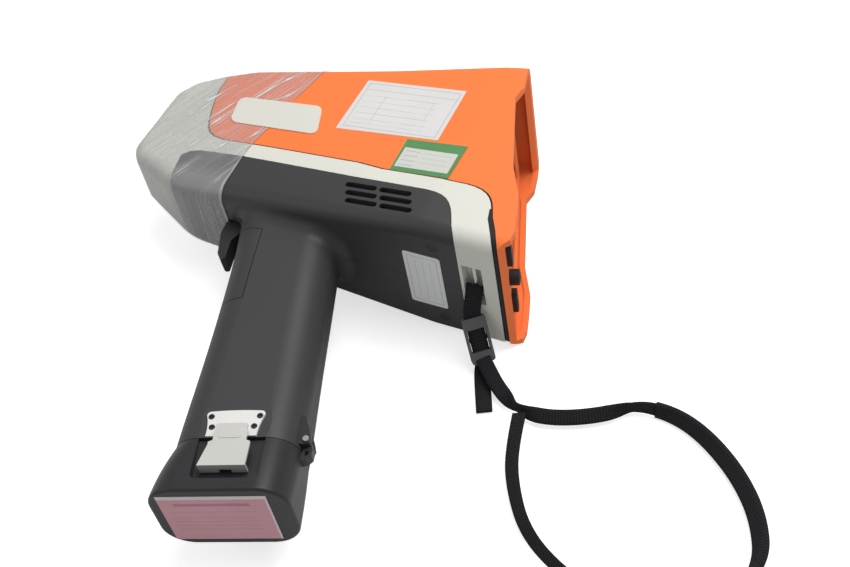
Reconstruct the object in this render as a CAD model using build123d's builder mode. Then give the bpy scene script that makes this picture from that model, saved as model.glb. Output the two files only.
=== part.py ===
from build123d import *
from math import atan2, cos, radians, sin, sqrt
import os

os.makedirs("parts", exist_ok=True)

# Driving dimensions, millimetres.
# The instrument lies on its right side: +Z is its left side, +Y its top, -X its nose.
MID = 41.5
FULL = 83.0
WALL = 3.0
SEAM = 0.3
RAKE = radians(20.94)
NOSE_X = -120.5
BASE_A = 144.0
HINGE_E = 27.9
HINGE_A = 110.0
CLASP_A = 110.2
CLASP_Z = 23.6
TRIGGER_E = -23.0
TRIGGER_A = -33.0
LEAD_WIDTH = 9.0
LEG_WIDTH = 7.5
PAD_WIDTH = 9.5
WEB_THICK = 1.6

# Side outline: the smooth run goes over the top, round the nose and along the underside.
RING = [(82, 150), (10, 135.2), (-77, 120.5), (-97, 113), (-112, 104.5), (NOSE_X, 93),
        (NOSE_X, 45), (-115, 38.5), (-78, 21.5), (115, 21.5)]
RING_RADII = [80, 60, 20, 14, 12, 10, 10, 40]
REAR = [(115, 21.5), (121, 28), (120.8, 34), (117, 46.5), (113, 58), (102.8, 75.5),
        (85.2, 121.5), (86.6, 130), (82, 150)]
# Plan outline: parallel at the rear, tapering 6 degrees a side to the nose.
TAPER = 0.114
BREAK_X = 72.0
PLAN_END = TAPER * (BREAK_X + 140)
PLAN = [(140, 0), (BREAK_X, 0), (-140, PLAN_END), (-140, FULL - PLAN_END), (BREAK_X, FULL), (140, FULL)]
PLAN_RADII = [1, 60, 1, 1, 60, 1]

# Where the orange cover stops, from the nose edge along the band to the rear underside.
COVER_EDGE = [(-92, 160), (-92, 108), (-91.4, 97.4), (-89, 88.5), (-86.2, 80.3), (-83.4, 73.4),
              (-80.8, 68.2), (-77.4, 64.2), (-72.4, 61.4), (-65, 60), (-34, 59.7), (22.6, 58.2),
              (37.9, 56.3), (78, 55.9), (86.5, 56.2), (91.6, 55.8), (95.4, 54.8), (98.6, 53.2),
              (101.1, 51), (103.2, 48.2), (104.9, 44.8), (107.5, 38.6), (112, 31), (116.7, 21), (116.7, 5)]
# Where the black housing stops, from the chin along the band to the rear underside.
HOUSING_EDGE = [(-80.7, 5), (-80.7, 23.6), (-84.9, 43.4), (-81, 47), (-75.2, 48.7), (-48, 49.4),
                (-21, 48.7), (28, 47.2), (48, 46.9), (67.7, 46.4), (72.8, 46.1), (76.6, 45.2),
                (79.7, 43.6), (82.2, 41.3), (84.4, 38.4), (86.3, 35), (88, 31.4), (89.6, 27.7),
                (93, 21.5), (93, 5)]


def rake_point(e, a):
    """Side-view point of a place given along and across the raked grip."""
    return (sin(RAKE) * a + cos(RAKE) * e, -cos(RAKE) * a + sin(RAKE) * e)


# Plane across the grip: local x runs rearward, local y up in Z, its offset down the grip.
GRIP = Plane(origin=(0, 0, MID), x_dir=(cos(RAKE), sin(RAKE), 0), z_dir=(sin(RAKE), -cos(RAKE), 0))
# Side plane in grip coordinates: local x rearward, local y down the grip.
GRIP_SIDE = Plane(origin=(0, 0, MID), x_dir=(cos(RAKE), sin(RAKE), 0), z_dir=(0, 0, -1))
# Rear plane: looks squarely at the screen; local x is Z, local y up the screen.
REAR_FACE = Plane(origin=(0, 0, MID), x_dir=(0, 0, -1), z_dir=(cos(RAKE), sin(RAKE), 0))
# Near face of the grip: local x rearward, local y up the grip.
LATCH_FACE = Plane(origin=(0, 0, MID), x_dir=(cos(RAKE), sin(RAKE), 0), z_dir=(0, 0, 1))
# Tapered near side of the body, where the stickers and the name plate lie.
FLANK = Plane(origin=(BREAK_X, 0, FULL), x_dir=(1, 0, TAPER), z_dir=(-TAPER, 0, 1))


def envelope(inset, corner):
    """The body's outer form, moved inward by inset, its long edges rounded."""
    with BuildPart() as form:
        with BuildSketch(Plane.XY.offset(-10)):
            with BuildLine():
                FilletPolyline(*RING, radius=RING_RADII)
                Polyline(*REAR)
            make_face()
            if inset:
                offset(amount=-inset, kind=Kind.INTERSECTION)
        extrude(amount=FULL + 20)
        with BuildSketch(Plane.XZ.offset(-170)):
            with BuildLine():
                FilletPolyline(*PLAN, radius=PLAN_RADII, close=True)
            make_face()
            if inset:
                offset(amount=-inset, kind=Kind.INTERSECTION)
        extrude(amount=340, mode=Mode.INTERSECT)
        rim = form.edges().filter_by(lambda g: abs(g.tangent_at(0.5).Z) < 0.9)
        fillet([g for g in rim if g.center().Y > 100 and g.center().X < 78], radius=corner)
    return form.part


def prism(points, low=-20.0, high=110.0):
    """A straight-sided block through the body with the given side view."""
    with BuildPart() as block:
        with BuildSketch(Plane.XY.offset(low)):
            with BuildLine():
                Polyline(*points, close=True)
            make_face()
        extrude(amount=high - low)
    return block.part


def cover_zone(shift):
    """Everything above and behind the cover's edge, grown by shift."""
    moved = [(x - shift, y - shift) for x, y in COVER_EDGE]
    return prism(moved + [(150, 5), (150, 170), (-92 - shift, 170)])


def housing_zone(shift):
    """Everything under the housing's edge, grown by shift."""
    middle = [(x, y + shift) for x, y in HOUSING_EDGE[2:10]]
    front = [(x - shift, y) for x, y in HOUSING_EDGE[:2]]
    back = [(x + shift, y) for x, y in HOUSING_EDGE[10:]]
    return prism(front + middle + back)


def grip_loft(stations, inset=0.0):
    """Rounded sections down the grip, each (a, front e, rear e, half width, radius)."""
    with BuildPart() as solid:
        for a, front, rear, half, radius in stations:
            with BuildSketch(GRIP.offset(a)):
                with Locations(((front + rear) / 2, 0)):
                    RectangleRounded(rear - front - 2 * inset, 2 * (half - inset), radius - inset)
        loft()
    return solid.part


# %% shells ---------------------------------------------------------------
outer = envelope(0, 8.5)
inner = envelope(WALL, 5.5)
seal_outer = envelope(0.7, 7.8)
seal_inner = envelope(2.3, 6.2)

# Rear pocket between the side rims, for the screen assembly.
pocket_profile = [rake_point(119, -100), (83.3, 146.6), (130, 146.6), (130, 20), (122, 24.3),
                  rake_point(119, 17.8)]
rear_pocket = prism(pocket_profile, MID - 37.3, MID + 37.3)
bezel_profile = [rake_point(112.6, -99.6), rake_point(119.4, -99.6), rake_point(119.4, 18),
                 rake_point(112.6, 18)]
bezel_space = prism(bezel_profile, MID - 38.4, MID + 38.4)

with BuildPart() as top_cover:
    add(outer)
    add(inner, mode=Mode.SUBTRACT)
    add(cover_zone(0), mode=Mode.INTERSECT)
    add(rear_pocket, mode=Mode.SUBTRACT)
    add(bezel_space, mode=Mode.SUBTRACT)
    with BuildSketch(Plane.XZ.offset(-140)):
        with Locations((68, MID + 29)):
            Circle(3.2)
    extrude(amount=-20, mode=Mode.SUBTRACT)
top_cover.part.label = "top_cover"

seal_strip = [(105.6, 44.5), (107.2, 38.4), (111.7, 30.8), (116.4, 21), (116.4, 5), (114, 5), (114, 21),
              (109.4, 29.8), (105.2, 37.2), (103.6, 43.5)]
with BuildPart() as cover_seal:
    add(seal_outer)
    add(seal_inner, mode=Mode.SUBTRACT)
    add(cover_zone(0.7), mode=Mode.INTERSECT)
    with BuildPart(mode=Mode.PRIVATE) as strip:
        add(seal_outer)
        add(seal_inner, mode=Mode.SUBTRACT)
        add(prism(seal_strip), mode=Mode.INTERSECT)
    add(strip.part)
    add(cover_zone(0.02), mode=Mode.SUBTRACT)
    add(bezel_space, mode=Mode.SUBTRACT)
cover_seal.part.label = "cover_seal"

# Nose, side bands and rear wrap in one casting, tied across by a deck.
with BuildPart() as chassis_frame:
    add(outer)
    add(inner, mode=Mode.SUBTRACT)
    add(cover_zone(0.72), mode=Mode.SUBTRACT)
    add(housing_zone(SEAM), mode=Mode.SUBTRACT)
    add(prism(seal_strip), mode=Mode.SUBTRACT)
    add(bezel_space, mode=Mode.SUBTRACT)
    with BuildSketch(Plane.XZ.offset(-50.0)):
        with BuildLine():
            Polyline((84, 2), (70, 2), (-96, 20.5), (-96, 62.5), (70, 81), (84, 81), close=True)
        make_face()
    extrude(amount=-2.5)
    # strap recess in the rear underside
    with Locations((100.5, 25.05, MID + 6)):
        Box(13.8, 7.1, 31)
    with Locations((100.5, 23, MID + 6)):
        Box(11, 8.8, 28, mode=Mode.SUBTRACT)
    with BuildSketch(Plane.YZ.offset(-130)):
        with Locations((69, MID)):
            RectangleRounded(36, 24, 4)
    extrude(amount=20, mode=Mode.SUBTRACT)
chassis_frame.part.label = "chassis_frame"

# %% lower housing and grip -------------------------------------------------
GRIP_STATIONS = [(-38, -27, 27.3, 19.5, 14), (0, -27, 27.3, 19.5, 15), (40, -29.6, 26.9, 19.6, 15.5),
                 (75, -32.4, 26.4, 20.2, 15.5), (96, -34.1, 26.1, 21, 15.5), (114, -35.7, 25.8, 21, 15.5)]
DOOR_STATIONS = [(114.3, -35.7, 25.8, 21, 15.5), (128, -39.9, 25.5, 22.9, 15.5),
                 (BASE_A, -42.5, 24.6, 24.5, 15)]
grip_solid = grip_loft(GRIP_STATIONS)
grip_hollow = grip_loft(GRIP_STATIONS, 2.6)

lower_zone = housing_zone(0)
with BuildPart() as housing_outer:
    add(outer)
    add(lower_zone, mode=Mode.INTERSECT)
    add(grip_solid)
    root = [g for g in housing_outer.edges()
            if abs(g.center().Y - 21.5) < 0.6 and abs(g.center().Z - MID) < 20.5
            and -45 < g.center().X < 40]
    fillet(root, radius=7)

# The trigger shroud closes the front of the grip under the body.
shroud_zone_points = [rake_point(-60, -29), rake_point(-10, -17), rake_point(-11.5, 0),
                      rake_point(-13.6, 30), rake_point(-60, 30)]

with BuildPart() as housing_shell:
    add(housing_outer.part)
    with BuildPart(mode=Mode.PRIVATE) as hollow:
        add(inner)
        add(lower_zone, mode=Mode.INTERSECT)
        add(grip_hollow)
    add(hollow.part, mode=Mode.SUBTRACT)
    # vents: two groups of three slanting slots on both sides
    with BuildSketch(Plane.XY.offset(-5)):
        for row in range(3):
            with Locations((31.8 + 2.6 * row, 41.6 - 5.3 * row), (52 + 2.6 * row, 41.6 - 5.3 * row)):
                SlotOverall(18.6, 3.4)
    extrude(amount=100, mode=Mode.SUBTRACT)
    # trigger slot, with room for the pin and its spring
    with BuildSketch(GRIP_SIDE):
        with Locations((-30.5, -23)):
            Rectangle(31, 40)
    extrude(amount=6.6, both=True, mode=Mode.SUBTRACT)
    with BuildSketch(GRIP_SIDE):
        with Locations((TRIGGER_E, TRIGGER_A)):
            Circle(4)
    extrude(amount=11.8, both=True, mode=Mode.SUBTRACT)
    with BuildSketch(GRIP_SIDE):
        with Locations((TRIGGER_E, TRIGGER_A)):
            Circle(1.52)
    extrude(amount=17.8, both=True, mode=Mode.SUBTRACT)
    with BuildSketch(GRIP_SIDE.offset(6)):
        with Locations((TRIGGER_E + 5.5, TRIGGER_A - 2.8)):
            Rectangle(13, 2.4)
    extrude(amount=5.8, mode=Mode.SUBTRACT)
    # screw seats and the flat for the latch plate
    with BuildSketch(Plane.XZ.offset(-21)):
        with Locations((80, MID + 28), (80, MID - 28)):
            Circle(3.1)
    extrude(amount=-1.7, mode=Mode.SUBTRACT)
    with BuildSketch(GRIP.offset(97)):
        with Locations((-4, 26)):
            Rectangle(34, 10)
    extrude(amount=17.5, mode=Mode.SUBTRACT)
housing_whole = housing_shell.part


def housing_half(low, high, name):
    """One clamshell half of the housing, cut from the whole."""
    with BuildPart() as half:
        add(housing_whole)
        add(prism([(-200, -200), (200, -200), (200, 200), (-200, 200)], low, high), mode=Mode.INTERSECT)
        add(prism(shroud_zone_points), mode=Mode.SUBTRACT)
    half.part.label = name
    return half.part


housing_left = housing_half(MID + 0.1, 100, "housing_left")
housing_right = housing_half(-20, MID - 0.1, "housing_right")

inner_shroud = [rake_point(-60, -28.6), rake_point(-10.4, -16.7), rake_point(-11.9, 0),
                rake_point(-14, 29.6), rake_point(-60, 29.6)]
with BuildPart() as trigger_shroud:
    add(housing_whole)
    add(prism(inner_shroud), mode=Mode.INTERSECT)
trigger_shroud.part.label = "trigger_shroud"


# %% trigger ----------------------------------------------------------------
blade_outline = [(-27.5, -37), (-37.2, -35.5), (-38.8, -28), (-38.5, -20.7), (-38.2, -14.3),
                 (-35.4, -8.9), (-33, -9.6), (-32.4, -14), (-31.6, -22), (-27, -27.5),
                 (-19.5, -29), (-18.8, -34), (-21, -37.4)]
with BuildPart() as trigger:
    with BuildSketch(GRIP_SIDE):
        with BuildLine():
            Polyline(*blade_outline, close=True)
        make_face()
    extrude(amount=5.6, both=True)
    front = [g for g in trigger.edges() if GRIP_SIDE.to_local_coords(g.center()).X < -36
             and abs(g.tangent_at(0.5).Z) < 0.9]
    fillet(front, radius=1.8)
    with BuildSketch(GRIP_SIDE):
        with Locations((TRIGGER_E, TRIGGER_A)):
            Circle(1.56)
    extrude(amount=8, both=True, mode=Mode.SUBTRACT)
trigger.part.label = "trigger"

with BuildPart() as trigger_pin:
    with BuildSketch(GRIP_SIDE):
        with Locations((TRIGGER_E, TRIGGER_A)):
            Circle(1.5)
    extrude(amount=17.5, both=True)
trigger_pin.part.label = "trigger_pin"

with BuildPart() as trigger_spring:
    with BuildSketch(GRIP_SIDE.offset(6.2)):
        with Locations((TRIGGER_E, TRIGGER_A)):
            Circle(3.2)
            Circle(1.6, mode=Mode.SUBTRACT)
    extrude(amount=5)
    with BuildSketch(GRIP_SIDE.offset(10.2)):
        with Locations((TRIGGER_E + 5, TRIGGER_A - 2.8)):
            Rectangle(11, 0.8)
    extrude(amount=0.8)
trigger_spring.part.label = "trigger_spring"

with BuildPart() as microswitch:
    with BuildSketch(GRIP_SIDE):
        with Locations((-12.5, -26)):
            Rectangle(8, 13)
    extrude(amount=4, both=True)
    with BuildSketch(GRIP_SIDE):
        with Locations((-17, -30.5)):
            Rectangle(1.4, 2.4)
    extrude(amount=1.5, both=True)
microswitch.part.label = "microswitch"

# %% screen and keypad --------------------------------------------------------
BUTTON_A = 6.3
KNOB_A = 6.1
with BuildPart() as screen_bezel:
    with BuildSketch(REAR_FACE.offset(113)):
        with Locations((0, 41.2)):
            Rectangle(74, 116)
    extrude(amount=6)
    with BuildSketch(REAR_FACE.offset(112)):
        with Locations((0, 50)):
            RectangleRounded(60, 84, 2)
        with Locations((18.5, -BUTTON_A), (-18.5, -BUTTON_A)):
            RectangleRounded(15.9, 6.4, 1.5)
        with Locations((0, -KNOB_A)):
            Circle(4.9)
    extrude(amount=10, mode=Mode.SUBTRACT)
    with BuildSketch(REAR_FACE.offset(116.4)):
        with Locations((0, 50)):
            RectangleRounded(65, 89, 3)
    extrude(amount=5, mode=Mode.SUBTRACT)
    with BuildSketch(REAR_FACE.offset(112)):
        with Locations((0, 50)):
            RectangleRounded(61.6, 85.6, 2)
    extrude(amount=3.0, mode=Mode.SUBTRACT)
    rim_front = screen_bezel.faces().sort_by(Axis((0, 0, 0), (cos(RAKE), sin(RAKE), 0)))[-1]
    window_rim = [g for g in rim_front.edges() if abs(REAR_FACE.to_local_coords(g.center()).X) < 34
                  and 4 < REAR_FACE.to_local_coords(g.center()).Y < 96]
    chamfer(window_rim, length=2.2)
screen_bezel.part.label = "screen_bezel"

with BuildPart() as touchscreen_glass:
    with BuildSketch(REAR_FACE.offset(116.4)):
        with Locations((0, 50)):
            RectangleRounded(64.6, 88.6, 2.8)
    extrude(amount=1.6)
touchscreen_glass.part.label = "touchscreen_glass"

with BuildPart() as display_panel:
    with BuildSketch(REAR_FACE.offset(112.2)):
        with Locations((0, 50)):
            Rectangle(58, 82)
    extrude(amount=4.0)
display_panel.part.label = "display_panel"


def key(z_rel, name):
    """A rounded key with a retaining flange behind the bezel."""
    with BuildPart() as cap:
        with BuildSketch(REAR_FACE.offset(111.6)):
            with Locations((-z_rel, -BUTTON_A)):
                RectangleRounded(17.6, 8.2, 1.5)
        extrude(amount=1.1)
        with BuildSketch(REAR_FACE.offset(112.7)):
            with Locations((-z_rel, -BUTTON_A)):
                RectangleRounded(15.1, 5.6, 1.4)
        extrude(amount=9.2)
        crown = cap.faces().sort_by(Axis((0, 0, 0), (cos(RAKE), sin(RAKE), 0)))[-1]
        fillet(crown.edges(), radius=0.9)
    cap.part.label = name
    return cap.part


button_left = key(18.5, "button_left")
button_right = key(-18.5, "button_right")

with BuildPart() as nav_knob:
    with BuildSketch(REAR_FACE.offset(111.6)):
        with Locations((0, -KNOB_A)):
            Circle(5.8)
    extrude(amount=1.1)
    with BuildSketch(REAR_FACE.offset(112.7)):
        with Locations((0, -KNOB_A)):
            Circle(4.3)
    extrude(amount=11.6)
    with Locations(Location(REAR_FACE.from_local_coords((0, -KNOB_A, 128.4)))):
        Sphere(5, mode=Mode.SUBTRACT)
    knob_crown = nav_knob.faces().sort_by(Axis((0, 0, 0), (cos(RAKE), sin(RAKE), 0)))[-1]
    fillet(knob_crown.edges().sort_by(SortBy.LENGTH)[-1:], radius=0.8)
nav_knob.part.label = "nav_knob"

with BuildPart() as keypad_board:
    with BuildSketch(REAR_FACE.offset(107.8)):
        with Locations((0, -3.3)):
            Rectangle(68, 12.6)
    extrude(amount=1.6)
keypad_board.part.label = "keypad_board"

with BuildPart() as switch_domes:
    with BuildSketch(REAR_FACE.offset(109.4)):
        with Locations((18.5, -BUTTON_A), (-18.5, -BUTTON_A), (0, -KNOB_A)):
            Circle(3)
    extrude(amount=0.8)
switch_domes.part.label = "switch_domes"

with BuildPart() as status_light:
    with BuildSketch(Plane.XZ.offset(-142)):
        with Locations((68, MID + 29)):
            Circle(2.9)
    extrude(amount=-5.6)
status_light.part.label = "status_light"


# %% stickers and name plate ----------------------------------------------------
def flank_point(x, y):
    """Local coordinates on the tapered side of a side-view point."""
    return ((x - BREAK_X) * sqrt(1 + TAPER ** 2), y)


def flank_outline(corners, radii):
    """A closed outline with rounded corners on the tapered near side."""
    flat = [flank_point(x, y) for x, y in corners]
    with BuildLine() as line:
        if radii:
            FilletPolyline(*flat, radius=radii, close=True)
        else:
            Polyline(*flat, close=True)
    return line.line


def flank_plate(corners, thickness, name, radii=()):
    """A thin plate lying on the tapered near side."""
    with BuildPart() as plate:
        with BuildSketch(FLANK.offset(0.02)):
            add(flank_outline(corners, radii))
            make_face()
        extrude(amount=thickness)
    plate.part.label = name
    return plate.part


PLATE_CORNERS = [(-74.3, 93.6), (-19.6, 94.3), (-11.9, 72.9), (-70, 73.2)]
PLATE_RADII = [4, 6, 3, 7]
name_plate = flank_plate(PLATE_CORNERS, 0.7, "name_plate", PLATE_RADII)
white_sticker = flank_plate([(-3.1, 119.7), (57.5, 120.2), (57.9, 81.3), (-3.7, 80)], 0.15, "white_sticker")
green_sticker = flank_plate([(41, 79.2), (76, 79.8), (75.3, 55.9), (41.5, 55.9)], 0.15, "green_sticker")

with BuildPart() as underside_label:
    with BuildSketch(Plane.XZ.offset(-21.5)):
        with Locations((72.5, MID)):
            RectangleRounded(21, 40, 1.5)
    extrude(amount=0.2)
underside_label.part.label = "underside_label"

with BuildPart() as battery_label:
    with BuildSketch(GRIP.offset(BASE_A)):
        with Locations((-11.0, -0.2)):
            Rectangle(51.8, 38.5)
    extrude(amount=0.2)
battery_label.part.label = "battery_label"

# %% fasteners -------------------------------------------------------------------
with BuildPart() as housing_screws:
    with BuildSketch(Plane.XZ.offset(-22.6)):
        with Locations((80, MID + 28), (80, MID - 28)):
            Circle(3.0)
    extrude(amount=1.0)
    with BuildSketch(Plane.XZ.offset(-21.7)):
        with Locations((80, MID + 28), (80, MID - 28)):
            RegularPolygon(1.5, 6)
    extrude(amount=0.9, mode=Mode.SUBTRACT)
housing_screws.part.label = "housing_screws"

# %% measuring head -----------------------------------------------------------------
WINDOW_Y = 69.0
FACE_X = -121.1
with BuildPart() as window_frame:
    with BuildSketch(Plane.YZ.offset(FACE_X)):
        with Locations((WINDOW_Y, MID)):
            RectangleRounded(35.4, 23.4, 3.8)
            Circle(6.0, mode=Mode.SUBTRACT)
    extrude(amount=4.3)
    with BuildSketch(Plane.YZ.offset(FACE_X)):
        with Locations((WINDOW_Y - 13.5, MID + 7.6), (WINDOW_Y + 13.5, MID + 7.6),
                       (WINDOW_Y - 13.5, MID - 7.6), (WINDOW_Y + 13.5, MID - 7.6)):
            Circle(1.9)
    extrude(amount=0.9, mode=Mode.SUBTRACT)
window_frame.part.label = "window_frame"

with BuildPart() as window_film:
    with BuildSketch(Plane.YZ.offset(-116.8)):
        with Locations((WINDOW_Y, MID)):
            Rectangle(20, 20)
    extrude(amount=0.2)
window_film.part.label = "window_film"

with BuildPart() as window_screws:
    with BuildSketch(Plane.YZ.offset(FACE_X + 0.1)):
        with Locations((WINDOW_Y - 13.5, MID + 7.6), (WINDOW_Y + 13.5, MID + 7.6),
                       (WINDOW_Y - 13.5, MID - 7.6), (WINDOW_Y + 13.5, MID - 7.6)):
            Circle(1.8)
            RegularPolygon(0.8, 6, mode=Mode.SUBTRACT)
    extrude(amount=0.8)
window_screws.part.label = "window_screws"

with BuildPart() as collimator:
    with BuildSketch(Plane.YZ.offset(-116.6)):
        with Locations((WINDOW_Y, MID)):
            RectangleRounded(26, 24, 3)
            Circle(5, mode=Mode.SUBTRACT)
    extrude(amount=7)
    with BuildSketch(Plane.XZ.offset(-52.5)):
        with Locations((-108, MID)):
            Rectangle(5, 20)
    extrude(amount=-5)
collimator.part.label = "collimator"

with BuildPart() as xray_tube:
    with BuildSketch(Plane.YZ.offset(-109.6)):
        with Locations((WINDOW_Y + 8, MID)):
            Circle(4)
    extrude(amount=14)
    with BuildSketch(Plane.YZ.offset(-95.6)):
        with Locations((WINDOW_Y + 6, MID)):
            Circle(15)
    extrude(amount=52)
    with Locations((-70, 56.5, MID)):
        Box(30, 8, 18)
xray_tube.part.label = "xray_tube"

with BuildPart() as high_voltage_supply:
    with Locations((-14, 77, MID)):
        Box(54, 49, 44)
    fillet(high_voltage_supply.edges().filter_by(Axis.X), radius=2)
high_voltage_supply.part.label = "high_voltage_supply"

with BuildPart() as detector:
    with BuildSketch(Plane.YZ.offset(-105.4)):
        with Locations((60, MID)):
            Circle(4)
    extrude(amount=4)
    with Locations((-98.9, 58.0, MID)):
        Box(6, 11, 14)
detector.part.label = "detector"

with BuildPart() as heat_sink:
    with Locations((44, 54.5, MID)):
        Box(50, 4, 58)
    with Locations(*[(44, 62, MID - 26 + 6.5 * k) for k in range(9)]):
        Box(50, 12, 1.8)
heat_sink.part.label = "heat_sink"

with BuildPart() as main_board:
    with BuildSketch(REAR_FACE.offset(100)):
        with Locations((0, 46)):
            Rectangle(66, 76)
    extrude(amount=1.6)
    with BuildSketch(REAR_FACE.offset(101.6)):
        with Locations((-14, 60)):
            Rectangle(22, 22)
        with Locations((16, 34)):
            Rectangle(14, 20)
    extrude(amount=2.4)
main_board.part.label = "main_board"

with BuildPart() as vent_mesh:
    add(inner)
    add(envelope(WALL + 0.8, 4.7), mode=Mode.SUBTRACT)
    add(prism([(20, 27.5), (68, 27.5), (68, 45.5), (20, 45.5)]), mode=Mode.INTERSECT)
vent_mesh.part.label = "vent_mesh"

# %% battery bay -----------------------------------------------------------------------
with BuildPart() as battery_pack:
    with BuildSketch(GRIP.offset(34)):
        with Locations((-2.5, 0)):
            RectangleRounded(43, 26, 3.5)
    extrude(amount=105.8)
battery_pack.part.label = "battery_pack"

with BuildPart() as battery_contacts:
    with BuildSketch(GRIP.offset(29)):
        with Locations((-2.5, 0)):
            Rectangle(40, 20)
    extrude(amount=3)
    with BuildSketch(GRIP.offset(32)):
        with Locations((-10, 0), (-2.5, 0), (5, 0)):
            Rectangle(2, 8)
    extrude(amount=2)
    with BuildSketch(GRIP.offset(29)):
        with Locations((-2.5, 0)):
            Rectangle(12, 33)
    extrude(amount=3)
battery_contacts.part.label = "battery_contacts"

with BuildPart() as battery_door:
    add(grip_loft(DOOR_STATIONS))
    with BuildPart(mode=Mode.PRIVATE) as well:
        with BuildSketch(GRIP.offset(110)):
            with Locations((-5, 0)):
                RectangleRounded(57, 31, 10)
        extrude(amount=30)
    add(well.part, mode=Mode.SUBTRACT)
    bottom = battery_door.faces().sort_by(Axis((0, 0, 0), (sin(RAKE), -cos(RAKE), 0)))[-1]
    fillet(bottom.edges(), radius=1.6)
    # pocket that the clasp lies in
    with BuildSketch(LATCH_FACE.offset(19)):
        with Locations((-4.6, -123.6)):
            RectangleRounded(32, 27.6, 3)
    extrude(amount=12, mode=Mode.SUBTRACT)
    # knuckle and small finger loop at the rear
    with BuildSketch(GRIP_SIDE.offset(-8.6)):
        with BuildLine():
            Polyline((24.5, 115.4), (26.1, 114.7), (26.1, HINGE_A), (29.7, HINGE_A), (30.7, 113.4),
                     (30.5, 116.6), (28.3, 118.8), (24.9, 119.6), close=True)
        make_face()
        with Locations((HINGE_E, HINGE_A)):
            Circle(1.85)
    extrude(amount=5.4)
    with BuildSketch(GRIP_SIDE):
        with BuildLine():
            Polyline((27.1, 114.2), (29.2, 114.2), (29, 116), (27.3, 117), close=True)
        make_face()
        with Locations((HINGE_E, HINGE_A)):
            Circle(0.97)
    extrude(amount=10, both=True, mode=Mode.SUBTRACT)
battery_door.part.label = "battery_door"

with BuildPart() as hinge_lugs:
    for level in (-12.2, -2.9):
        with BuildSketch(GRIP_SIDE.offset(level)):
            with BuildLine():
                Polyline((22, 97), (26.3, 97), (29.1, 105), (30.3, 109.5), (29.6, 111.6), (27.2, 112.4),
                         (22, 112.4), close=True)
            make_face()
            with Locations((HINGE_E, HINGE_A)):
                Circle(0.92, mode=Mode.SUBTRACT)
        extrude(amount=3.3)
    add(grip_solid, mode=Mode.SUBTRACT)
hinge_lugs.part.label = "hinge_lugs"

with BuildPart() as hinge_pin:
    with BuildSketch(GRIP_SIDE.offset(-12.9)):
        with Locations((HINGE_E, HINGE_A)):
            Circle(0.9)
    extrude(amount=13.8)
    with BuildSketch(GRIP_SIDE.offset(0.5)):
        with Locations((HINGE_E, HINGE_A)):
            Circle(1.5)
    extrude(amount=0.9)
    with BuildSketch(GRIP_SIDE.offset(-13.2)):
        with Locations((HINGE_E, HINGE_A)):
            Circle(1.5)
    extrude(amount=0.9)
hinge_pin.part.label = "hinge_pin"

# Latch: backing plate with two ears, clasp flap with a lip, on a pin under the flap.
CLASP_AXIS = Plane(origin=GRIP_SIDE.from_local_coords((0, CLASP_A, -CLASP_Z)),
                   x_dir=(sin(RAKE), -cos(RAKE), 0), z_dir=(cos(RAKE), sin(RAKE), 0))
LATCH_SCREWS = [(-16.1, -103.2), (-15, -109), (7.2, -103.1), (5.2, -108.8)]
with BuildPart() as latch_plate:
    with BuildSketch(LATCH_FACE.offset(21.02)):
        with BuildLine():
            ThreePointArc((-19, -100.6), (-4, -99.8), (10.4, -100.4))
            ThreePointArc((10.4, -100.4), (8, -107), (6.9, -113.9))
            Line((6.9, -113.9), (-17.4, -113.9))
            ThreePointArc((-17.4, -113.9), (-17.4, -107), (-19, -100.6))
        make_face()
        fillet(vertices().sort_by(Axis.Y)[-2:], radius=1.8)
    extrude(amount=1.2)
    with BuildSketch(LATCH_FACE.offset(22.2)):
        with Locations((-8.8, -CLASP_A), (1.4, -CLASP_A)):
            Rectangle(2.2, 2)
    extrude(amount=1.4)
    for ear in (-9.9, 0.3):
        with BuildSketch(CLASP_AXIS.offset(ear)):
            Circle(1.2)
        extrude(amount=2.2)
    with BuildSketch(CLASP_AXIS.offset(-14)):
        Circle(0.72)
    extrude(amount=24, mode=Mode.SUBTRACT)
    with BuildSketch(LATCH_FACE.offset(20)):
        with Locations(*LATCH_SCREWS):
            Circle(1.55)
    extrude(amount=4, mode=Mode.SUBTRACT)
latch_plate.part.label = "latch_plate"

with BuildPart() as latch_screws:
    with BuildSketch(LATCH_FACE.offset(21.05)):
        with Locations(*LATCH_SCREWS):
            Circle(1.5)
    extrude(amount=1.3)
    with BuildSketch(LATCH_FACE.offset(21.8)):
        with Locations(*LATCH_SCREWS):
            RegularPolygon(0.8, 6)
    extrude(amount=1, mode=Mode.SUBTRACT)
latch_screws.part.label = "latch_screws"

with BuildPart() as latch_pin:
    with BuildSketch(CLASP_AXIS.offset(-9.9)):
        Circle(0.7)
    extrude(amount=12.4)
latch_pin.part.label = "latch_pin"

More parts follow.
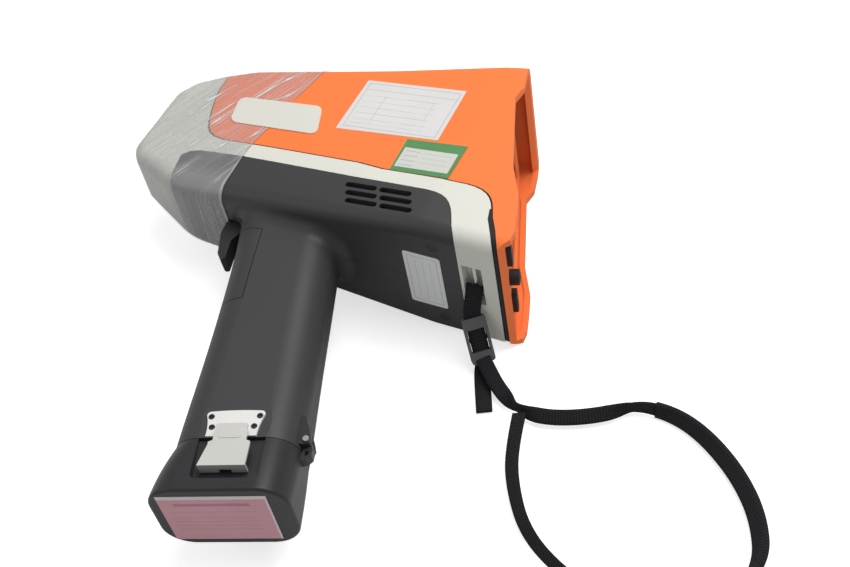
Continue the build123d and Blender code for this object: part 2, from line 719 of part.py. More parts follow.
with BuildPart() as latch_clasp:
    with BuildSketch(LATCH_FACE.offset(24.9)):
        with BuildLine():
            Polyline((-11.6, -109.4), (3.4, -109.4), (3.8, -116), (3.8, -118.6), (5.8, -119.4),
                     (5.8, -121.5), (5.2, -132), (-17.4, -132), (-14, -121), (-14, -119.4),
                     (-12, -118.6), (-12, -116), close=True)
        make_face()
        fillet(vertices().sort_by(Axis.Y)[-2:], radius=1.2)
    extrude(amount=1.2)
    # raised pad on the upper leaf
    with BuildSketch(LATCH_FACE.offset(26.0)):
        with Locations((-4.2, -114.2)):
            RectangleRounded(11, 6.6, 1.6)
    extrude(amount=0.4)
    # turned-down lip with its slot
    with BuildSketch(LATCH_FACE.offset(19.6)):
        with Locations((-6.1, -131.3)):
            Rectangle(22.6, 1.4)
        with Locations((-5, -131.3)):
            Rectangle(6, 4, mode=Mode.SUBTRACT)
    extrude(amount=2.6)
    with BuildSketch(LATCH_FACE.offset(22.2)):
        with Locations((-6.1, -131.3)):
            Rectangle(22.6, 1.4)
    extrude(amount=2.9)
    # knuckle between the plate's ears
    with BuildSketch(CLASP_AXIS.offset(-7.4)):
        Circle(1.3)
        with Locations((0, -1.1)):
            Rectangle(1.8, 1.2)
    extrude(amount=7.4)
    with BuildSketch(CLASP_AXIS.offset(-14)):
        Circle(0.74)
    extrude(amount=24, mode=Mode.SUBTRACT)
latch_clasp.part.label = "latch_clasp"

# %% wrist strap --------------------------------------------------------------------------
with BuildPart() as strap_bar:
    with BuildSketch(Plane.XY.offset(MID - 9.2)):
        with Locations((100.5, 24.7)):
            Circle(1.5)
    extrude(amount=30.3)
strap_bar.part.label = "strap_bar"


def fillet_radii(points):
    """Largest comfortable arc at each bend of a strap's path."""
    radii = []
    for before, here, after in zip(points, points[1:], points[2:]):
        one = [h - b for h, b in zip(here, before)]
        two = [n - h for n, h in zip(after, here)]
        run_one = sqrt(sum(c * c for c in one))
        run_two = sqrt(sum(c * c for c in two))
        cosine = sum(p * q for p, q in zip(one, two)) / (run_one * run_two)
        turn = atan2(sqrt(max(0.0, 1 - cosine ** 2)), cosine)
        radii.append(round(0.45 * min(run_one, run_two) / sin(turn / 2) * cos(turn / 2), 1))
    return radii


def ribbon(points, width, thick, name, flat_axis=(0, 0, 1)):
    """Webbing along a path; flat_axis is the direction its width runs in."""
    radii = fillet_radii(points)
    print(name, "radii", radii)
    with BuildPart() as band:
        with BuildLine() as route:
            FilletPolyline(*points, radius=radii)
        start = route.line @ 0
        way = route.line % 0
        with BuildSketch(Plane(origin=start, x_dir=flat_axis, z_dir=way)):
            Rectangle(width, thick)
        sweep()
    band.part.label = name
    return band.part


LEG_Z = 0.5 * PAD_WIDTH + 0.15
LEAD_PATH = [(100.5, 23.0, MID + 5), (100.5, 18.2, MID - 2), (99.1, 16.5, 28.5), (103.9, 11.3, 16.8),
             (106.2, 8.6, 10.6)]
LEG_A_PATH = [(106.8, 7.0, 9.0), (110.5, 3.6, 8.0), (122, -7, LEG_Z), (136, -15.5, LEG_Z), (150, -15, LEG_Z),
              (164, -10.5, LEG_Z), (179, -2.5, LEG_Z), (191, 7.5, LEG_Z), (200.5, 7.75, LEG_Z)]
PAD_PATH = [(200.5, 7.75, LEG_Z), (210, 8, LEG_Z), (228, 1, LEG_Z), (248, -14, LEG_Z), (263.5, -33, LEG_Z),
            (272, -56, LEG_Z), (262, -80, LEG_Z), (240, -95, LEG_Z), (225, -96.5, LEG_Z)]
LEG_B_PATH = [(225, -96.5, LEG_Z), (210, -98, LEG_Z), (184, -90, LEG_Z), (164, -77, LEG_Z),
              (150, -57, LEG_Z), (142, -39, LEG_Z), (137.4, -17.2, LEG_Z)]
STUB_PATH = [(107.2, 7.6, 4.5), (107.6, 5.2, 2.6), (108.8, 0.5, 1.0), (119, -20, 0.9)]

strap_leg_a = ribbon(LEG_A_PATH, LEG_WIDTH, WEB_THICK, "strap_leg_a")
wrist_pad = ribbon(PAD_PATH, PAD_WIDTH, 2.6, "wrist_pad")
strap_leg_b = ribbon(LEG_B_PATH, LEG_WIDTH, WEB_THICK, "strap_leg_b")
strap_lead = ribbon(LEAD_PATH, LEAD_WIDTH, 1.4, "strap_lead", (1, 0, 0))
strap_stub = ribbon(STUB_PATH, LEAD_WIDTH, 1.4, "strap_stub", (0.976, 0.209, -0.059))

BUCKLE = Plane(origin=(104, 11.2, 16.9), x_dir=(0.77, 0.64, 0), z_dir=(0.55, -0.66, 0.51))
with BuildPart() as buckle:
    with BuildSketch(BUCKLE.offset(-1.8)):
        RectangleRounded(12.6, 25.6, 1.6)
        with Locations((0, 0)):
            Rectangle(9.8, 13, mode=Mode.SUBTRACT)
    extrude(amount=3.6)
    with BuildSketch(BUCKLE.offset(-1.8)):
        Rectangle(12, 2.4)
    extrude(amount=0.8)
buckle.part.label = "buckle"

# Thin clear film folded round the nose, open at the measuring window.
film_edge = [(-160, -60), (-45.5, -60), (-45.5, 28), (-46.6, 48.5), (-46, 61), (-42.8, 73), (-41, 92),
             (-34, 121), (-34, 170), (-160, 170)]
with BuildPart() as nose_film:
    add(envelope(-0.55, 9.0))
    add(envelope(-0.3, 8.8), mode=Mode.SUBTRACT)
    add(prism(film_edge, -20, 110), mode=Mode.INTERSECT)
    with BuildSketch(FLANK.offset(-3)):
        add(flank_outline(PLATE_CORNERS, PLATE_RADII))
        make_face()
        offset(amount=0.4)
    extrude(amount=8, mode=Mode.SUBTRACT)
    with BuildSketch(Plane.YZ.offset(-125)):
        with Locations((WINDOW_Y, MID)):
            RectangleRounded(38, 26, 5)
    extrude(amount=10, mode=Mode.SUBTRACT)
nose_film.part.label = "nose_film"

# %% write every node -------------------------------------------------------------------------
pieces = [top_cover.part, cover_seal.part, chassis_frame.part, housing_left, housing_right,
          trigger_shroud.part, trigger.part, trigger_pin.part, trigger_spring.part, microswitch.part,
          screen_bezel.part, touchscreen_glass.part, display_panel.part, button_left, button_right,
          nav_knob.part, keypad_board.part, switch_domes.part, status_light.part, name_plate,
          white_sticker, green_sticker, underside_label.part, battery_label.part,
          housing_screws.part, window_frame.part, window_film.part, window_screws.part,
          collimator.part, xray_tube.part, high_voltage_supply.part, detector.part, heat_sink.part,
          main_board.part, vent_mesh.part, battery_pack.part, battery_contacts.part,
          battery_door.part, hinge_lugs.part, hinge_pin.part, latch_plate.part, latch_screws.part,
          latch_pin.part, latch_clasp.part, strap_bar.part, strap_lead, strap_stub, strap_leg_a,
          wrist_pad, strap_leg_b, buckle.part, nose_film.part]
for piece in pieces:
    export_step(piece, "parts/" + piece.label + ".step")
    box = piece.bounding_box()
    print(piece.label, len(piece.solids()), piece.is_valid, round(piece.volume),
          [round(v, 1) for v in (box.min.X, box.max.X, box.min.Y, box.max.Y, box.min.Z, box.max.Z)])
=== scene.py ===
# %% [markdown]
# # A handheld analyzer lying on its side
# The CAD pieces come in as the frame. Each step below adds one thing on top of them: the camera and
# the strap first, then light, finishes, the clear film and the small fittings.

import bmesh
import bpy
from mathutils import Matrix, Vector


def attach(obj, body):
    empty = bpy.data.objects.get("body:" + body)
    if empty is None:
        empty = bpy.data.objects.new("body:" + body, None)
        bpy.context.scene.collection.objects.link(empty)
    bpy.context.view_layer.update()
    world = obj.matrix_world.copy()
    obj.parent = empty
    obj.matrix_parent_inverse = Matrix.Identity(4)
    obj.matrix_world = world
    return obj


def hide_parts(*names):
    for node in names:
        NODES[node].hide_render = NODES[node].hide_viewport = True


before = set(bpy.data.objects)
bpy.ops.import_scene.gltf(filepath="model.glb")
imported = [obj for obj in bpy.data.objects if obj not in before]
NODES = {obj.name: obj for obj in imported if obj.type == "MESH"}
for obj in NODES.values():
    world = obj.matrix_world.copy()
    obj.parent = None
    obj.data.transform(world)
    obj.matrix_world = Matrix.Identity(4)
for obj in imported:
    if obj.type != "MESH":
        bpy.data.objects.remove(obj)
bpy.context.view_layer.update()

# %% [markdown]
# ## Camera
# The camera stands at the rear left, above the instrument, with a medium lens. Its matrix is built
# from three unit directions, so nothing has to be aimed afterwards.

# %% Camera
right = Vector((0.89963, 0.41555, -0.13407))
up = Vector((-0.24407, 0.73318, 0.63472))
back = Vector((0.36206, -0.5383, 0.76102))
camera_data = bpy.data.cameras.new("view")
camera_data.lens = 56.09
camera_data.sensor_width = 36
camera_data.clip_end = 20
camera = bpy.data.objects.new("view", camera_data)
bpy.context.collection.objects.link(camera)
turn = Matrix((right, up, back)).transposed().to_4x4()
camera.matrix_world = Matrix.Translation((0.3203, -0.3481, 0.5607)) @ turn
bpy.context.scene.camera = camera
bpy.context.scene.view_settings.view_transform = "Standard"
print("camera at", camera.matrix_world.translation)

# %% [markdown]
# ## Materials as small sums
# A shader is arithmetic on sockets. `Value` wraps one socket so that the arithmetic can be written as
# plain Python, and `Paint` owns a material's nodes and hands wrapped sockets out.


# %% Socket arithmetic
class Value:
    """One output socket of a material, with the usual operators."""

    def __init__(self, paint, socket):
        self.paint = paint
        self.socket = socket

    def math(self, operation, other=0.0, third=0.0):
        return self.paint.node("ShaderNodeMath", [self, other, third], operation=operation)

    def __add__(self, other):
        return self.math("ADD", other)

    __radd__ = __add__

    def __sub__(self, other):
        return self.math("SUBTRACT", other)

    def __rsub__(self, other):
        return self.math("MULTIPLY", -1.0) + other

    def __mul__(self, other):
        return self.math("MULTIPLY", other)

    __rmul__ = __mul__

    def __truediv__(self, other):
        return self.math("DIVIDE", other)

    def __pow__(self, other):
        return self.math("POWER", other)

    def clamp(self):
        return self.paint.node("ShaderNodeClamp", [self])

    def step(self, edge, soft):
        """0 below edge - soft, 1 above edge + soft, smooth between."""
        return ((self - (edge - soft)) / (2 * soft)).clamp()

    def above(self, edge):
        return self.math("GREATER_THAN", edge)

    def below(self, edge):
        return self.math("LESS_THAN", edge)

    def abs(self):
        return self.math("ABSOLUTE")

    def sin(self):
        return self.math("SINE")


class Paint:
    """A material and the nodes in it."""

    def __init__(self, name):
        self.material = bpy.data.materials.new(name)
        self.material.use_nodes = True
        self.tree = self.material.node_tree
        self.shader = next(n for n in self.tree.nodes if n.type == "BSDF_PRINCIPLED")
        self.output = next(n for n in self.tree.nodes if n.type == "OUTPUT_MATERIAL")
        coordinates = self.tree.nodes.new("ShaderNodeTexCoord")
        self.place = Value(self, coordinates.outputs["Object"])

    def node(self, kind, inputs=(), out=0, **settings):
        """Adds a node, sets or links its inputs in order, and returns an output."""
        made = self.tree.nodes.new(kind)
        for key, value in settings.items():
            setattr(made, key, value)
        pairs = inputs.items() if isinstance(inputs, dict) else enumerate(inputs)
        for key, value in pairs:
            if isinstance(value, Value):
                self.tree.links.new(value.socket, made.inputs[key])
            else:
                made.inputs[key].default_value = value
        return Value(self, made.outputs[out])

    def axes(self, place=None):
        split = self.tree.nodes.new("ShaderNodeSeparateXYZ")
        self.tree.links.new((place or self.place).socket, split.inputs[0])
        return [Value(self, socket) for socket in split.outputs]

    def noise(self, scale, detail=3.0, rough=0.55, place=None, stretch=None):
        place = place or self.place
        if stretch:
            place = self.node("ShaderNodeVectorMath", [place, stretch], operation="MULTIPLY")
        return self.node("ShaderNodeTexNoise",
                         {"Vector": place, "Scale": scale, "Detail": detail, "Roughness": rough})

    def mix(self, amount, one, two):
        """Colour one where amount is 0, two where it is 1."""
        made = self.tree.nodes.new("ShaderNodeMix")
        made.data_type = "RGBA"
        for key, value in ((0, amount), (6, one), (7, two)):
            if isinstance(value, Value):
                self.tree.links.new(value.socket, made.inputs[key])
            else:
                made.inputs[key].default_value = value if key == 0 else (*value, 1.0)
        return Value(self, made.outputs[2])

    def set(self, **values):
        """Sets or links inputs of the main shader, by name with _ for a space."""
        for key, value in values.items():
            target = self.shader.inputs[key.replace("_", " ")]
            if isinstance(value, Value):
                self.tree.links.new(value.socket, target)
            elif isinstance(value, tuple) and len(value) == 3 and target.type == "RGBA":
                target.default_value = (*value, 1.0)
            else:
                target.default_value = value
        return self

    def bump(self, height, distance, strength=1.0):
        made = self.node("ShaderNodeBump", {"Strength": strength, "Distance": distance, "Height": height})
        self.tree.links.new(made.socket, self.shader.inputs["Normal"])
        return self


def give(paint, *names):
    """Puts a material on CAD pieces or on objects made here."""
    for name in names:
        piece = NODES[name] if isinstance(name, str) else name
        piece.data.materials.clear()
        piece.data.materials.append(paint.material)


print("material tools ready")

# %% [markdown]
# ## The strap
# Webbing is flat, so a round bevel will not do. Each run follows a smooth NURBS line, and a flat
# section is carried along it while its width direction turns from one given direction to the next.

# %% Strap routes
LEG_Z = 0.0049
lead_route = [(0.1005, 0.0230, 0.0465), (0.1005, 0.0182, 0.0395), (0.0991, 0.0165, 0.0285),
              (0.1039, 0.0113, 0.0168), (0.1062, 0.0086, 0.0106)]
leg_a_route = [(0.1068, 0.0070, 0.0090), (0.1105, 0.0036, 0.0080), (0.122, -0.007, LEG_Z),
               (0.136, -0.0155, LEG_Z), (0.150, -0.015, LEG_Z), (0.164, -0.0105, LEG_Z),
               (0.179, -0.0025, LEG_Z), (0.191, 0.0075, LEG_Z), (0.2005, 0.00775, LEG_Z)]
pad_route = [(0.2005, 0.00775, LEG_Z), (0.210, 0.008, LEG_Z), (0.228, 0.001, LEG_Z),
             (0.248, -0.014, LEG_Z), (0.2635, -0.033, LEG_Z), (0.272, -0.056, LEG_Z),
             (0.262, -0.080, LEG_Z), (0.240, -0.095, LEG_Z), (0.225, -0.0965, LEG_Z)]
leg_b_route = [(0.225, -0.0965, LEG_Z), (0.210, -0.098, LEG_Z), (0.184, -0.090, LEG_Z),
               (0.164, -0.077, LEG_Z), (0.150, -0.057, LEG_Z), (0.142, -0.039, LEG_Z),
               (0.1374, -0.0172, LEG_Z)]
stub_route = [(0.1072, 0.0076, 0.0045), (0.1076, 0.0052, 0.0026), (0.1088, 0.0005, 0.0010),
              (0.119, -0.020, 0.0009)]


def smooth_line(points):
    """The points of the smooth line that a route controls."""
    data = bpy.data.curves.new("route", "CURVE")
    data.dimensions = "3D"
    data.resolution_u = 14
    spline = data.splines.new("NURBS")
    spline.points.add(len(points) - 1)
    for control, point in zip(spline.points, points):
        control.co = (*point, 1.0)
    spline.order_u = 3
    spline.use_endpoint_u = True
    holder = bpy.data.objects.new("route", data)
    bpy.context.collection.objects.link(holder)
    bpy.context.view_layer.update()
    mesh = bpy.data.meshes.new_from_object(holder)
    line = [Vector(v.co) for v in mesh.vertices]
    bpy.data.objects.remove(holder)
    return line


def line_length(line):
    return sum((b - a).length for a, b in zip(line, line[1:]))


# Section of the webbing, as shares of half its width and half its thickness.
WEB_SECTION = ((-1, -0.35), (-0.94, -1), (-0.5, -1), (0, -1), (0.5, -1), (0.94, -1), (1, -0.35),
               (1, 0.35), (0.94, 1), (0.5, 1), (0, 1), (-0.5, 1), (-0.94, 1), (-1, 0.35))


def webbing(name, line, width, thick, sides):
    """A flat band along line. sides gives its width direction at even steps from start to end."""
    mesh = bpy.data.meshes.new(name)
    bm = bmesh.new()
    uv = bm.loops.layers.uv.new("along")
    gone = [0.0]
    for a, b in zip(line, line[1:]):
        gone.append(gone[-1] + (b - a).length)
    rings = []
    for i, point in enumerate(line):
        ahead = line[min(i + 1, len(line) - 1)] - line[max(i - 1, 0)]
        ahead.normalize()
        reach = gone[i] / gone[-1] * (len(sides) - 1)
        k = min(int(reach), len(sides) - 2)
        side = Vector(sides[k]).lerp(Vector(sides[k + 1]), reach - k)
        side = (side - ahead * side.dot(ahead)).normalized()
        face = ahead.cross(side)
        ring = []
        for across, out in WEB_SECTION:
            ring.append(bm.verts.new(point + side * (across * width / 2) + face * (out * thick / 2)))
        rings.append(ring)
    count = len(rings[0])
    for i in range(len(rings) - 1):
        for j in range(count):
            face = bm.faces.new((rings[i][j], rings[i][(j + 1) % count],
                                 rings[i + 1][(j + 1) % count], rings[i + 1][j]))
            face.smooth = True
            for loop, (row, column) in zip(face.loops, ((i, j), (i, j + 1), (i + 1, j + 1), (i + 1, j))):
                loop[uv].uv = (gone[row], column / count)
    bm.faces.new(rings[0])
    bm.faces.new(list(reversed(rings[-1])))
    bmesh.ops.recalc_face_normals(bm, faces=bm.faces)
    bm.to_mesh(mesh)
    bm.free()
    piece = bpy.data.objects.new(name, mesh)
    bpy.context.collection.objects.link(piece)
    return piece


print("routes set out")

# %% Strap pieces
LEAD_WIDTH, LEG_A_WIDTH, PAD_WIDTH, LEG_B_WIDTH, STUB_WIDTH = 0.0090, 0.0080, 0.0093, 0.0075, 0.0085
lead_line = smooth_line(lead_route)
leg_a_line = smooth_line(leg_a_route)
pad_line = smooth_line(pad_route)
leg_b_line = smooth_line(leg_b_route)
stub_line = smooth_line(stub_route)
lead = webbing("strap_lead_web", lead_line, LEAD_WIDTH, 0.0014,
               [(1, 0.1, 0), (0.85, 0.5, 0), (0.77, 0.64, 0), (0.77, 0.64, 0)])
leg_a = webbing("strap_leg_a_web", leg_a_line, LEG_A_WIDTH, 0.0015,
                [(0.77, 0.64, 0.1), (0.72, 0.68, 0.15), (0.62, 0.66, 0.35), (0.35, -0.2, 0.86),
                 (-0.2, 0.7, 0.62), (-0.3, 0.7, 0.64), (-0.3, 0.7, 0.64), (-0.25, 0.55, 0.75),
                 (0.2, 0, 0.95), (0.2, 0.2, 0.95)])
pad = webbing("wrist_pad_web", pad_line, PAD_WIDTH, 0.0026,
              [(0.2, 0.2, 0.95), (0.3, 0.5, 0.8), (0.45, 0.55, 0.7), (0.6, 0.4, 0.7), (0.6, 0.1, 0.8)])
leg_b = webbing("strap_leg_b_web", leg_b_line, LEG_B_WIDTH, 0.0015,
                [(0.6, 0.1, 0.8), (0, 0.4, 0.9), (0.5, 0.4, 0.75), (0.8, 0.3, 0.5), (0.95, 0.26, 0.3)])
stub = webbing("strap_stub_web", stub_line, STUB_WIDTH, 0.0013,
               [(0.77, 0.64, 0.1), (0.9, 0.42, 0), (0.95, 0.3, 0)])
print("strap runs", [round(line_length(run), 3) for run in (lead_line, leg_a_line, pad_line, leg_b_line)])
for piece, node in ((lead, "strap_lead"), (leg_a, "strap_leg_a"), (pad, "wrist_pad"),
                    (leg_b, "strap_leg_b"), (stub, "strap_stub")):
    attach(piece, "frame")
    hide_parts(node)

# %% [markdown]
# ## Light and floor
# On a light table everything is pale and soft. A large lamp stands high towards the instrument's rear
# and top, away from where a flat side would mirror it into the camera, so that colours stay deep. A
# small fill and the sky give the rest. Camera rays see a brighter floor than the object does, which
# keeps the ground white while the contact shadows stay.

# %% Light and floor
SKY = 0.33
KEY_POWER = 15.5
FILL_POWER = 2.2
OBJECT_MIDDLE = (0, 0, 0.04)
FLOOR_HALF = 3
FLOOR_HEIGHT = -0.0006
world = bpy.data.worlds.new("studio")
bpy.context.scene.world = world
world.use_nodes = True
tree = world.node_tree
sky = next(n for n in tree.nodes if n.type == "BACKGROUND")
sky.inputs["Color"].default_value = (1, 1, 1, 1)
path = tree.nodes.new("ShaderNodeLightPath")
level = tree.nodes.new("ShaderNodeMapRange")
level.inputs["To Min"].default_value = SKY
level.inputs["To Max"].default_value = 1.0
tree.links.new(path.outputs["Is Camera Ray"], level.inputs["Value"])
tree.links.new(level.outputs["Result"], sky.inputs["Strength"])


def lamp(name, place, target, size, power):
    data = bpy.data.lights.new(name, "AREA")
    data.shape = "RECTANGLE"
    data.size = size
    data.size_y = size
    data.energy = power
    made = bpy.data.objects.new(name, data)
    bpy.context.collection.objects.link(made)
    aim = (Vector(target) - Vector(place)).to_track_quat("-Z", "Y")
    made.matrix_world = Matrix.Translation(place) @ aim.to_matrix().to_4x4()
    return made


key = lamp("key_light", (0.32, 0.48, 1.25), OBJECT_MIDDLE, 0.9, KEY_POWER)
fill = lamp("fill_light", (-0.9, -0.7, 0.8), OBJECT_MIDDLE, 0.8, FILL_POWER)

floor_mesh = bpy.data.meshes.new("floor")
bm = bmesh.new()
for across, along in ((-1, -1), (1, -1), (1, 1), (-1, 1)):
    bm.verts.new((across * FLOOR_HALF, along * FLOOR_HALF, FLOOR_HEIGHT))
bm.faces.new(bm.verts)
bm.to_mesh(floor_mesh)
bm.free()
floor = bpy.data.objects.new("floor", floor_mesh)
bpy.context.collection.objects.link(floor)
floor_paint = Paint("floor")
seen = floor_paint.node("ShaderNodeLightPath")
floor_paint.set(Base_Color=(0.78, 0.78, 0.78), Roughness=0.95, Emission_Strength=1.0)
floor_paint.set(Emission_Color=floor_paint.mix(seen, (0.0, 0.0, 0.0), (0.66, 0.66, 0.66)))
give(floor_paint, floor)
print("lights", key.name, fill.name)

# %% [markdown]
# ## Finishes
# Moulded plastic and painted castings look alike in one way: the tone drifts slowly over the piece and
# a fine grain breaks the shine. One function makes that pair from noise, and each finish then only
# states its colour, shine and grain. A low specular level keeps the orange mouldings from going
# chalky under a large soft lamp.


# %% Moulded plastic
def moulded(name, colour, rough, grain, drift=0.06, size=0.00006, coat=0.0, metal=0.0, shine=0.35):
    """A moulding's finish: tone drifting by drift, grain bumps per metre, roughness around rough."""
    paint = Paint(name)
    slow = paint.noise(18.0, 2.0)
    fine = paint.noise(grain, 4.0, 0.6)
    tone = slow * 0.7 + fine * 0.3
    dark = tuple(c * (1 - drift) for c in colour)
    light = tuple(min(1.0, c * (1 + drift)) for c in colour)
    paint.set(Base_Color=paint.mix(tone, dark, light), Roughness=(slow - 0.5) * 0.12 + rough,
              Metallic=metal, Coat_Weight=coat, Specular_IOR_Level=shine)
    paint.bump(fine, size)
    return paint


orange = moulded("orange_shell", (0.98, 0.218, 0.060), 0.55, 2200.0, 0.03, 0.00002, shine=0.15)
silver = moulded("silver_casting", (0.71, 0.71, 0.645), 0.5, 2600.0, 0.04, 0.00003, shine=0.3)
black = moulded("black_housing", (0.046, 0.044, 0.046), 0.5, 3200.0, 0.1, 0.00004, shine=0.4)
door_black = moulded("door_black", (0.030, 0.0295, 0.032), 0.38, 3200.0, 0.1, 0.00004, shine=0.3)
dark = moulded("dark_rubber", (0.016, 0.016, 0.017), 0.6, 2600.0, 0.2, 0.00005, shine=0.3)
plate_grey = moulded("name_plate", (0.70, 0.69, 0.62), 0.42, 1800.0, 0.04, 0.00002, shine=0.4)
satin = moulded("latch_metal", (0.85, 0.84, 0.81), 0.4, 1800.0, 0.04, 0.00002, metal=0.25)
clasp_satin = moulded("clasp_metal", (0.69, 0.685, 0.65), 0.36, 1800.0, 0.05, 0.00002, metal=0.3)
steel = moulded("bright_steel", (0.62, 0.62, 0.62), 0.28, 2400.0, 0.06, 0.00001, metal=1.0)
dark_steel = moulded("dark_steel", (0.05, 0.05, 0.052), 0.4, 2400.0, 0.15, 0.00002, metal=0.6)
board = moulded("board_green", (0.02, 0.16, 0.06), 0.45, 1500.0, 0.15, 0.00003)
glass = moulded("screen_glass", (0.006, 0.006, 0.008), 0.08, 900.0, 0.2, 0.000002, coat=0.6)
buckle_grey = moulded("buckle_grey", (0.115, 0.11, 0.115), 0.5, 2500.0, 0.1, 0.00004)
give(orange, "top_cover", "screen_bezel")
give(silver, "chassis_frame")
give(black, "housing_left", "housing_right", "trigger_shroud")
give(door_black, "battery_door", "hinge_lugs", "trigger")
give(dark, "cover_seal", "button_left", "button_right", "nav_knob", "status_light", "battery_pack",
     "microswitch")
give(plate_grey, "name_plate")
give(satin, "latch_plate")
give(clasp_satin, "latch_clasp")
give(steel, "trigger_pin", "trigger_spring", "switch_domes", "hinge_pin", "latch_pin", "strap_bar",
     "xray_tube", "detector", "window_frame", "high_voltage_supply", "heat_sink", "collimator",
     "battery_contacts")
give(dark_steel, "latch_screws", "housing_screws", "window_screws", "vent_mesh")
give(board, "keypad_board", "main_board")
give(glass, "touchscreen_glass", "display_panel")
give(buckle_grey, "buckle")
print("finishes given")

# %% [markdown]
# ## Softened edges
# Pressed and moulded parts never have knife edges. A bevel modifier that only takes edges sharper than
# a limit rounds the small fittings, and leaves the curved faces of the CAD pieces alone.

# %% Softened edges
SMALL_EDGES = {"latch_plate": 0.00025, "latch_clasp": 0.00035, "name_plate": 0.00025, "buckle": 0.0005,
               "hinge_lugs": 0.0003}
for name, width in SMALL_EDGES.items():
    soften = NODES[name].modifiers.new("soft_edges", "BEVEL")
    soften.width = width
    soften.segments = 2
    soften.limit_method = "ANGLE"
    soften.angle_limit = 0.7
print("edges softened on", len(SMALL_EDGES), "pieces")

# %% [markdown]
# ## Webbing
# The strap is woven nylon: fine ribs run across it, and they catch light only along their crests, so the
# base colour is painted lighter along the crests as a painted highlight and darker between them as painted
# shade. The mesh carries the distance along the strap in its UV map, so a sine of that distance draws the
# ribs evenly round every bend.

# %% Webbing
RIBS_PER_METRE = 670
FULL_TURN = 6.2832
web = Paint("webbing")
along = web.node("ShaderNodeUVMap", uv_map="along")
run_along, run_across = web.axes(along)[:2]
rib = (run_along * (FULL_TURN * RIBS_PER_METRE)).sin()
weave = (run_across * 160.0).sin() * 0.35
# tone is a painted highlight on the rib crests and painted shade between them, plus random tone from noise
tone = (rib * 0.5 + 0.5) * 0.6 + web.noise(900.0) * 0.4
web.set(Base_Color=web.mix(tone, (0.008, 0.008, 0.009), (0.026, 0.026, 0.030)), Roughness=0.85,
        Specular_IOR_Level=0.2)
web.bump(rib + weave, 0.00016)
give(web, lead, leg_a, pad, leg_b, stub)
print("webbing ribs per metre", RIBS_PER_METRE)

# %% [markdown]
# ## Blank forms
# The stickers are printed forms with nothing written on them. Their rules are drawn straight from
# object coordinates: a rule is the band where the distance to a given place is less than half its
# width, and a box limits where it shows.


# %% Drawing rules in millimetres
def flat_axes(paint):
    """The piece's coordinates in millimetres."""
    return [axis * 1000.0 for axis in paint.axes()]


def inside(value, low, high):
    """1 where value lies between low and high."""
    return value.above(low) * value.below(high)


def rules(across, along_axis, places, low, high, thick):
    """Parallel rules at the given places, each from low to high along the other axis."""
    total = None
    for place in places:
        band = inside(across, place - thick / 2, place + thick / 2)
        total = band if total is None else total + band
    return total * inside(along_axis, low, high)


def frame_rules(u, v, box, thick):
    """The outline of a box (u0, u1, v0, v1)."""
    u0, u1, v0, v1 = box
    return rules(u, v, (u0, u1), v0, v1, thick) + rules(v, u, (v0, v1), u0, u1, thick)


print("rules ready")

# %% White form
white = Paint("white_form")
u, v = flat_axes(white)[:2]
heavy = frame_rules(u, v, (-0.6, 55.3, 82.9, 117.6), 0.35) + rules(v, u, (112.6,), -0.6, 55.3, 0.3)
light_rules = rules(v, u, (107.9, 103.3, 98.7, 94.1, 89.5, 86.0), 1.5, 46.0, 0.22)
columns = rules(u, v, (13.6,), 86.0, 110.0, 0.22) + rules(u, v, (43.5,), 94.1, 107.9, 0.2)
faded = white.noise(90.0, 3.0).step(0.42, 0.12)
stain = white.noise(28.0, 3.0).step(0.62, 0.16) * 0.3
paper = white.mix(stain, (0.70, 0.69, 0.68), (0.56, 0.54, 0.47))
ink = ((light_rules + columns) * (faded * 0.6 + 0.15) + heavy * 0.62).clamp()
white.set(Base_Color=white.mix(ink, paper, (0.22, 0.27, 0.34)), Roughness=0.5, Specular_IOR_Level=0.3)
white.bump(white.noise(300.0, 3.0), 0.00003)
give(white, "white_sticker")
print("white form ruled")

# %% Green form
green = Paint("green_form")
u, v = flat_axes(green)[:2]
field = inside(u, 42.7, 73.6) * inside(v, 59.0, 73.2)
row_rules = rules(v, u, (70.8, 67.4, 64.0, 60.8), 44.2, 52.4, 0.3)
fill_rules = rules(v, u, (70.4, 67.0, 63.6), 55.0, 71.0, 0.22)
green_ground = green.mix(green.noise(60.0, 2.0), (0.080, 0.24, 0.085), (0.12, 0.30, 0.115))
sheet_colour = green.mix(field, green_ground, (0.61, 0.62, 0.58))
green.set(Base_Color=green.mix((row_rules * 0.6 + fill_rules * 0.4).clamp(), sheet_colour,
                               (0.10, 0.12, 0.10)), Roughness=0.45, Specular_IOR_Level=0.3)
green.bump(green.noise(300.0, 3.0), 0.00002)
give(green, "green_sticker")
print("green form ruled")

# %% Battery label and underside label
pink = Paint("pink_label")
x, y, height = flat_axes(pink)
lean, drop = 0.934, 0.357
reach = x * lean + y * drop
margin = (reach.above(14.0) + height.above(57.9)).clamp()
pink_rules = rules(height, reach, (47.0, 42.0, 38.5, 35.0, 31.5), -33.0, 8.0, 0.5)
pink_rules = pink_rules + rules(height, reach, (53.3,), -30.0, 6.0, 2.4) * 1.6
blot = pink.noise(40.0, 3.0)
pink_ground = pink.mix(blot, (0.59, 0.28, 0.33), (0.69, 0.38, 0.43))
pink_ground = pink.mix(margin * 0.85, pink_ground, (0.72, 0.70, 0.70))
pink.set(Base_Color=pink.mix(pink_rules * 0.3, pink_ground, (0.20, 0.10, 0.14)), Roughness=0.5,
         Specular_IOR_Level=0.3)
pink.bump(pink.noise(300.0, 3.0), 0.00002)
give(pink, "battery_label")
grey_label = Paint("underside_label")
x, y, height = flat_axes(grey_label)
label_rules = frame_rules(x, height, (64.2, 80.8, 24.0, 59.0), 0.3)
label_rules = label_rules + rules(x, height, (68.4, 72.6, 76.7), 27.0, 56.0, 0.2)
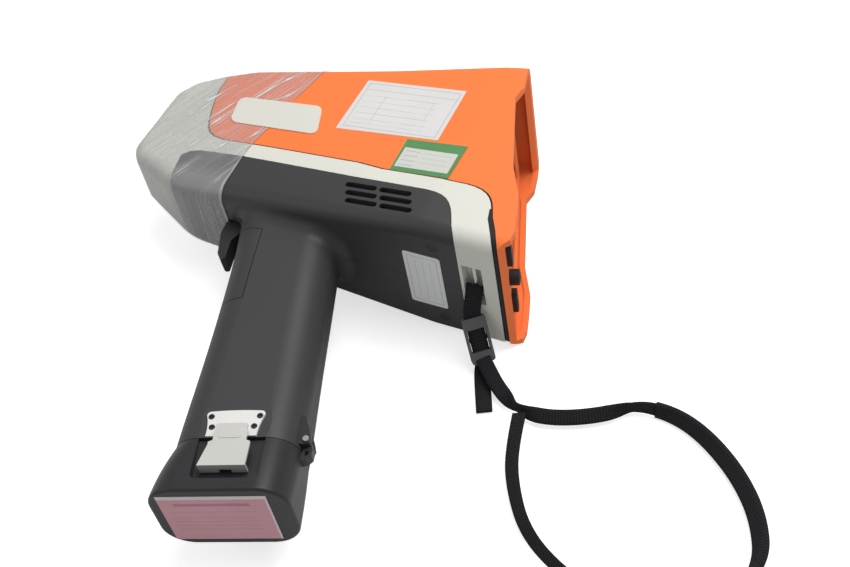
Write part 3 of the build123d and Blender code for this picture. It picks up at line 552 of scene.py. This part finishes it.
grey_label.set(Base_Color=grey_label.mix(label_rules.clamp() * 0.5, (0.84, 0.85, 0.86), (0.20, 0.20, 0.21)),
               Roughness=0.5, Specular_IOR_Level=0.3)
grey_label.bump(grey_label.noise(300.0, 3.0), 0.00002)
give(grey_label, "underside_label")
window_skin = moulded("window_skin", (0.55, 0.53, 0.42), 0.3, 900.0, 0.05, 0.00001)
give(window_skin, "window_film")
print("labels given")

# %% [markdown]
# ## Clear film
# The film is thin and nearly clear, but stretching it leaves bright creases that all run the same way,
# and a milky haze between them. Noise stretched along the pull, then folded about its middle value,
# gives thin lines. They drive the alpha, the colour and the bump, and the nose shows through the rest.

# %% Clear film
PULL_ACROSS, PULL_ALONG = 0.878, 0.479
film = Paint("clear_film")
x, y, height = film.axes()
across_pull = x * PULL_ACROSS - y * PULL_ALONG
along_pull = x * PULL_ALONG + y * PULL_ACROSS
pulled = film.node("ShaderNodeCombineXYZ", [across_pull, along_pull * 0.07, height * 0.06])


def creases(place, scale, sharp):
    """Thin lines where stretched noise passes its middle value."""
    folded = (film.noise(scale, 2.0, 0.5, place=place) - 0.5).abs()
    return (1.0 - folded * sharp).clamp() ** 2.0


patches = film.noise(38.0, 2.0).step(0.52, 0.10)
flank = y.step(0.050, 0.004)
lines = creases(pulled, 130.0, 30.0) * patches + creases(pulled, 180.0, 14.0) * 0.20
lines = lines * (flank * 0.70 + 0.30)
milky = 1.0 - y.step(0.030, 0.010)
haze = film.noise(60.0, 3.0, place=pulled) * 0.20 + 0.08 + milky * 0.20
rear_edge = (x * 1000.0 + 46.6 - ((y * 1000.0 - 60.0) * 0.19).math("MAXIMUM", 0.0)).abs().below(0.6)
film.set(Base_Color=film.mix(lines.clamp(), (0.50, 0.505, 0.505), (0.98, 0.98, 0.98)), Roughness=0.2,
         Specular_IOR_Level=0.4)
film.set(Alpha=(haze + lines * 0.6 + rear_edge * 0.35).clamp())
film.bump(film.noise(80.0, 2.0, 0.5, place=pulled) + lines * 0.2, 0.0010)
give(film, "nose_film")
print("film given")
